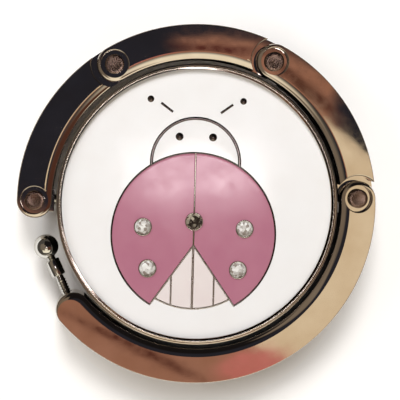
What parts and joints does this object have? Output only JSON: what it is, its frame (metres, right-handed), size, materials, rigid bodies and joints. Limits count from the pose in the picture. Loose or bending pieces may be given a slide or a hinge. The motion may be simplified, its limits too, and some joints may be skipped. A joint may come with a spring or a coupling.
{
  "type": "folding purse hook",
  "caption": "Folding purse hook: an enamelled round medallion with a rubber back inside a ring of riveted bars that opens out into a hook.",
  "frame": {"origin": "on the table, under the middle of the medallion, with the ring closed and the part on its back", "axes": "+Z out of the enamelled face, +Y to the top of the picture on it, +X to its right"},
  "size_m": [0.045, 0.045, 0.006],
  "materials": {
    "nickel": "polished nickel plate on a zinc casting",
    "rivet": "nickel plated rivet, slightly dulled",
    "steel": "turned steel pin",
    "chromed_ball": "turned and chrome plated",
    "rubber": "moulded matt rubber",
    "white_enamel": "poured glossy enamel",
    "pink_enamel": "poured glossy enamel",
    "pale_enamel": "poured glossy enamel",
    "stone": "clear faceted stone"
  },
  "bodies": {
    "medallion": {"disc_body": "nickel", "emblem_plate": "nickel", "grip_pad": "rubber", "enamel_field": "white_enamel", "enamel_head": "white_enamel", "wing_enamel_left": "pink_enamel", "wing_enamel_right": "pink_enamel", "abdomen_enamel_1": "pale_enamel", "abdomen_enamel_2": "pale_enamel", "abdomen_enamel_3": "pale_enamel", "abdomen_enamel_4": "pale_enamel", "stone_1": "stone", "stone_2": "stone", "stone_3": "stone", "stone_4": "stone", "stone_5": "stone"},
    "swivel": {"swivel_block": "nickel", "swivel_pin": "steel", "rivet_d": "rivet"},
    "first_bar": {"left_link": "nickel", "rivet_a": "rivet"},
    "second_bar": {"top_link": "nickel", "rivet_b": "rivet"},
    "third_bar": {"right_link": "nickel", "rivet_c": "rivet"},
    "hook": {"hook_link": "nickel", "ball_tip": "chromed_ball"}
  },
  "joints": [
    {"name": "ring_swivel", "type": "hinge", "parent": "medallion", "child": "swivel", "pos_m": [-0.01759, 0.00055, 0.0027], "axis": [-0.9995, 0.0314, 0], "continuous": true},
    {"name": "first_bar_pivot", "type": "hinge", "parent": "swivel", "child": "first_bar", "pos_m": [-0.02029, 0.00064, 0.00385], "axis": [0, 0, 1], "range_deg": [0, 40]},
    {"name": "second_bar_pivot", "type": "hinge", "parent": "first_bar", "child": "second_bar", "pos_m": [-0.0103, 0.01749, 0.00385], "axis": [0, 0, 1], "range_deg": [0, 85]},
    {"name": "third_bar_pivot", "type": "hinge", "parent": "second_bar", "child": "third_bar", "pos_m": [0.00962, 0.01787, 0.00385], "axis": [0, 0, 1], "range_deg": [0, 85]},
    {"name": "hook_pivot", "type": "hinge", "parent": "third_bar", "child": "hook", "pos_m": [0.02029, 0.00067, 0.00385], "axis": [0, 0, 1], "range_deg": [0, 85]}
  ],
  "couplings": [
    {"joint": "first_bar_pivot", "follows": "hook_pivot", "ratio": 0.15},
    {"joint": "second_bar_pivot", "follows": "hook_pivot", "ratio": 0.2},
    {"joint": "third_bar_pivot", "follows": "hook_pivot", "ratio": 0.3}
  ]
}
